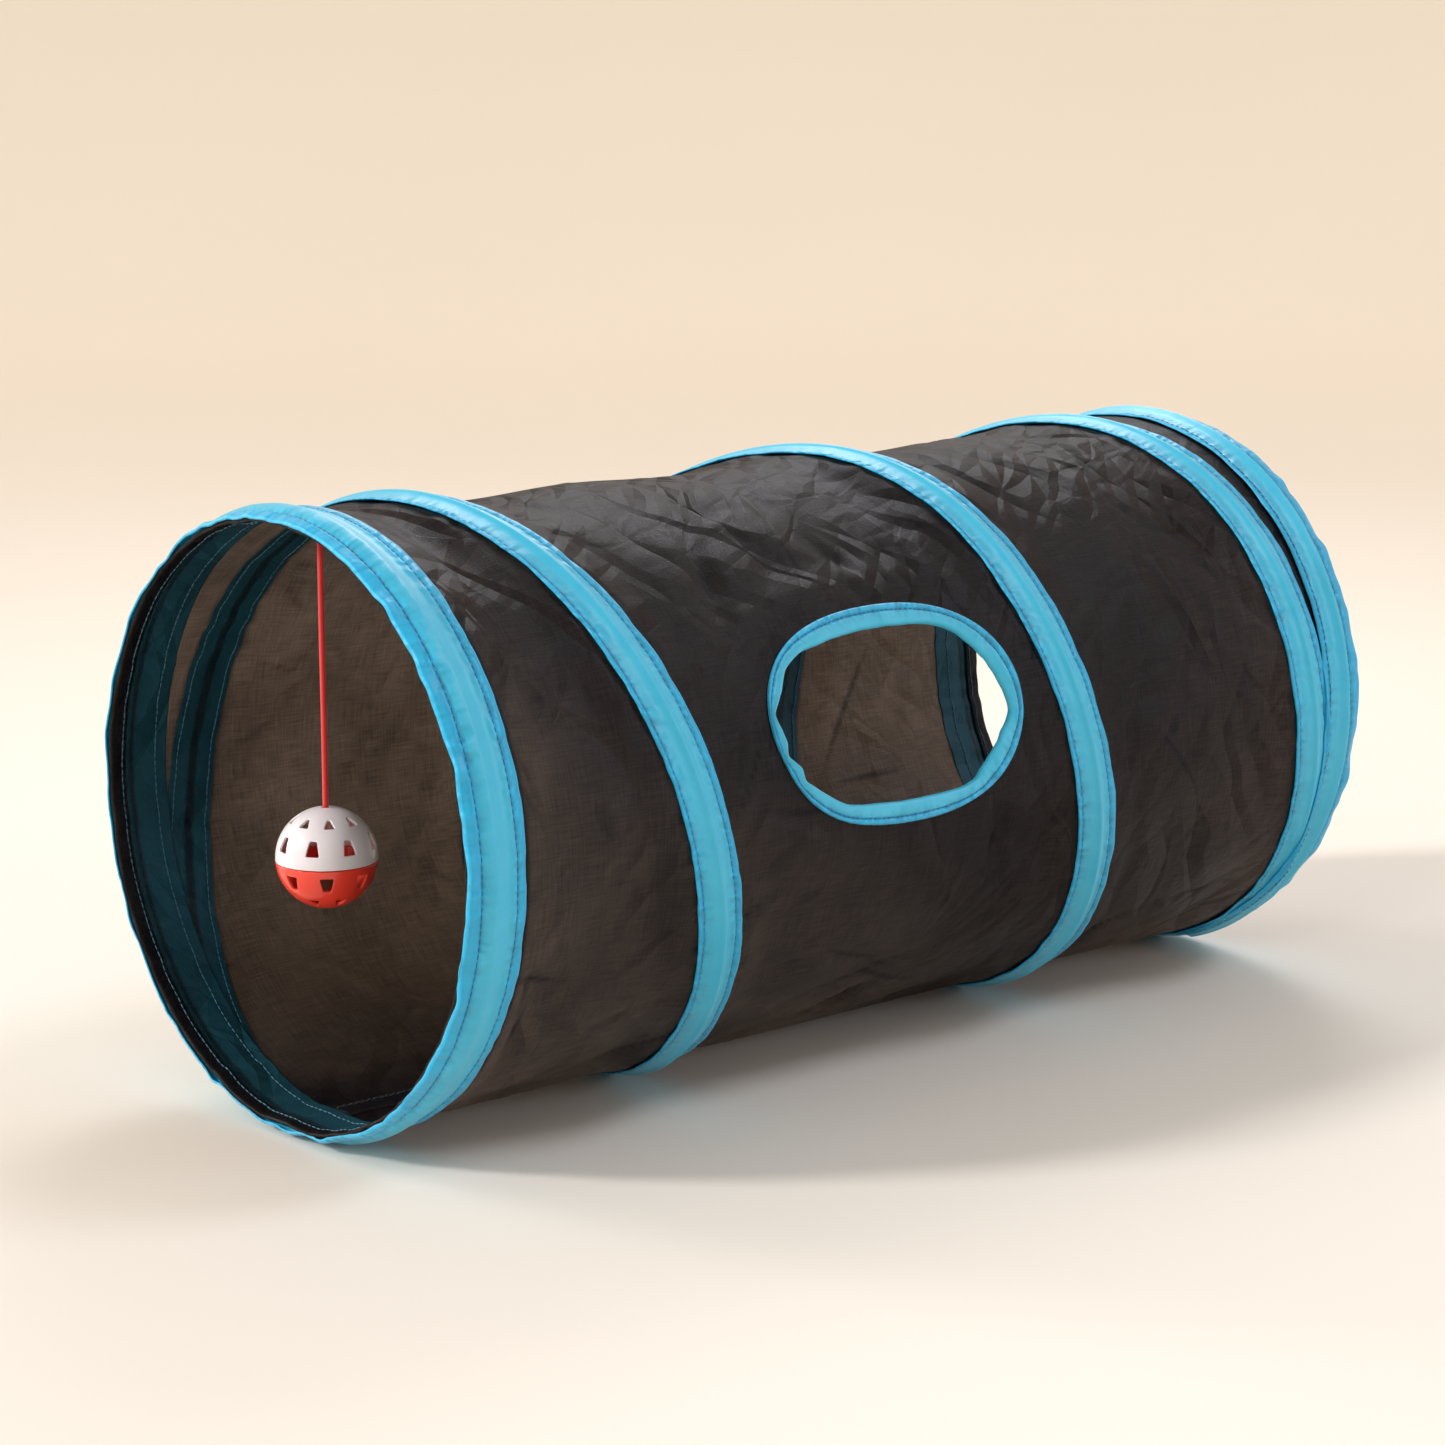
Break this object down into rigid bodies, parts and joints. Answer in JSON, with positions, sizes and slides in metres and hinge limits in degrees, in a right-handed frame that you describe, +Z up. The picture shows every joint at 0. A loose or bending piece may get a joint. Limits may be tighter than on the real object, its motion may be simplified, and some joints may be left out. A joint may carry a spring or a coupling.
{
  "type": "cat tunnel",
  "caption": "Collapsible cloth tube on spring wire for a cat to run through, open at both ends, with a side opening and a bell ball hanging in its front mouth.",
  "frame": {"origin": "on the floor under the middle of the tube", "axes": "+X along the tube from the front mouth, where the ball hangs, to the rear mouth; +Z up; the side opening is in the wall at -Y"},
  "size_m": [0.5, 0.25, 0.2489],
  "materials": {
    "tape": "light blue woven binding tape, puckered along its stitching",
    "cloth": "thin black woven polyester with a faint sheen",
    "spring_steel": "bright drawn spring wire",
    "red_cord": "red round braided cord",
    "white_plastic": "glossy white moulded plastic",
    "red_plastic": "glossy red moulded plastic",
    "bell_metal": "dark pressed brass"
  },
  "bodies": {
    "front_mouth": {"front_mouth_band": "tape", "front_hem": "cloth", "front_ring_wire": "spring_steel", "front_ring_ferrule": "spring_steel", "tunnel_fabric": "cloth", "side_hole_binding": "tape", "spiral_wire": "spring_steel", "spiral_band": "tape", "lengthwise_seam": "cloth", "hanging_tab": "cloth"},
    "rear_mouth": {"rear_mouth_band": "tape", "rear_hem": "cloth", "rear_ring_wire": "spring_steel", "rear_ring_ferrule": "spring_steel"},
    "cord_loop": {"cord_top_loop": "red_cord"},
    "cord": {"hanging_cord": "red_cord", "cord_stopper_knot": "red_cord"},
    "ball": {"ball_upper_half": "white_plastic", "ball_lower_half": "red_plastic"},
    "bell": {"bell_upper_shell": "bell_metal", "bell_lower_shell": "bell_metal"},
    "pellet": {"bell_pellet": "spring_steel"}
  },
  "joints": [
    {"name": "collapse", "type": "slide", "parent": "front_mouth", "child": "rear_mouth", "axis": [1, 0, 0], "range_m": [-0.43, 0], "stiffness_N_per_m": 20, "springref_m": 0.1, "deforming": ["tunnel_fabric", "spiral_wire", "spiral_band", "side_hole_binding", "lengthwise_seam"]},
    {"name": "cord_sideways", "type": "hinge", "parent": "front_mouth", "child": "cord_loop", "pos_m": [-0.2261, 0, 0.24006], "axis": [1, 0, 0], "range_deg": [-40, 40]},
    {"name": "cord_fore_and_aft", "type": "hinge", "parent": "cord_loop", "child": "cord", "pos_m": [-0.2261, 0, 0.2357], "axis": [0, 1, 0], "range_deg": [-60, 60]},
    {"name": "ball_spin", "type": "hinge", "parent": "cord", "child": "ball", "pos_m": [-0.2261, 0, 0.1095], "axis": [0, 0, 1], "continuous": true},
    {"name": "bell_roll", "type": "hinge", "parent": "ball", "child": "bell", "pos_m": [-0.2261, 0, 0.1095], "axis": [1, 0, 0], "range_deg": [-45, 45]},
    {"name": "pellet_roll", "type": "hinge", "parent": "bell", "child": "pellet", "pos_m": [-0.2261, 0, 0.0961], "axis": [1, 0, 0], "range_deg": [-60, 60]}
  ]
}
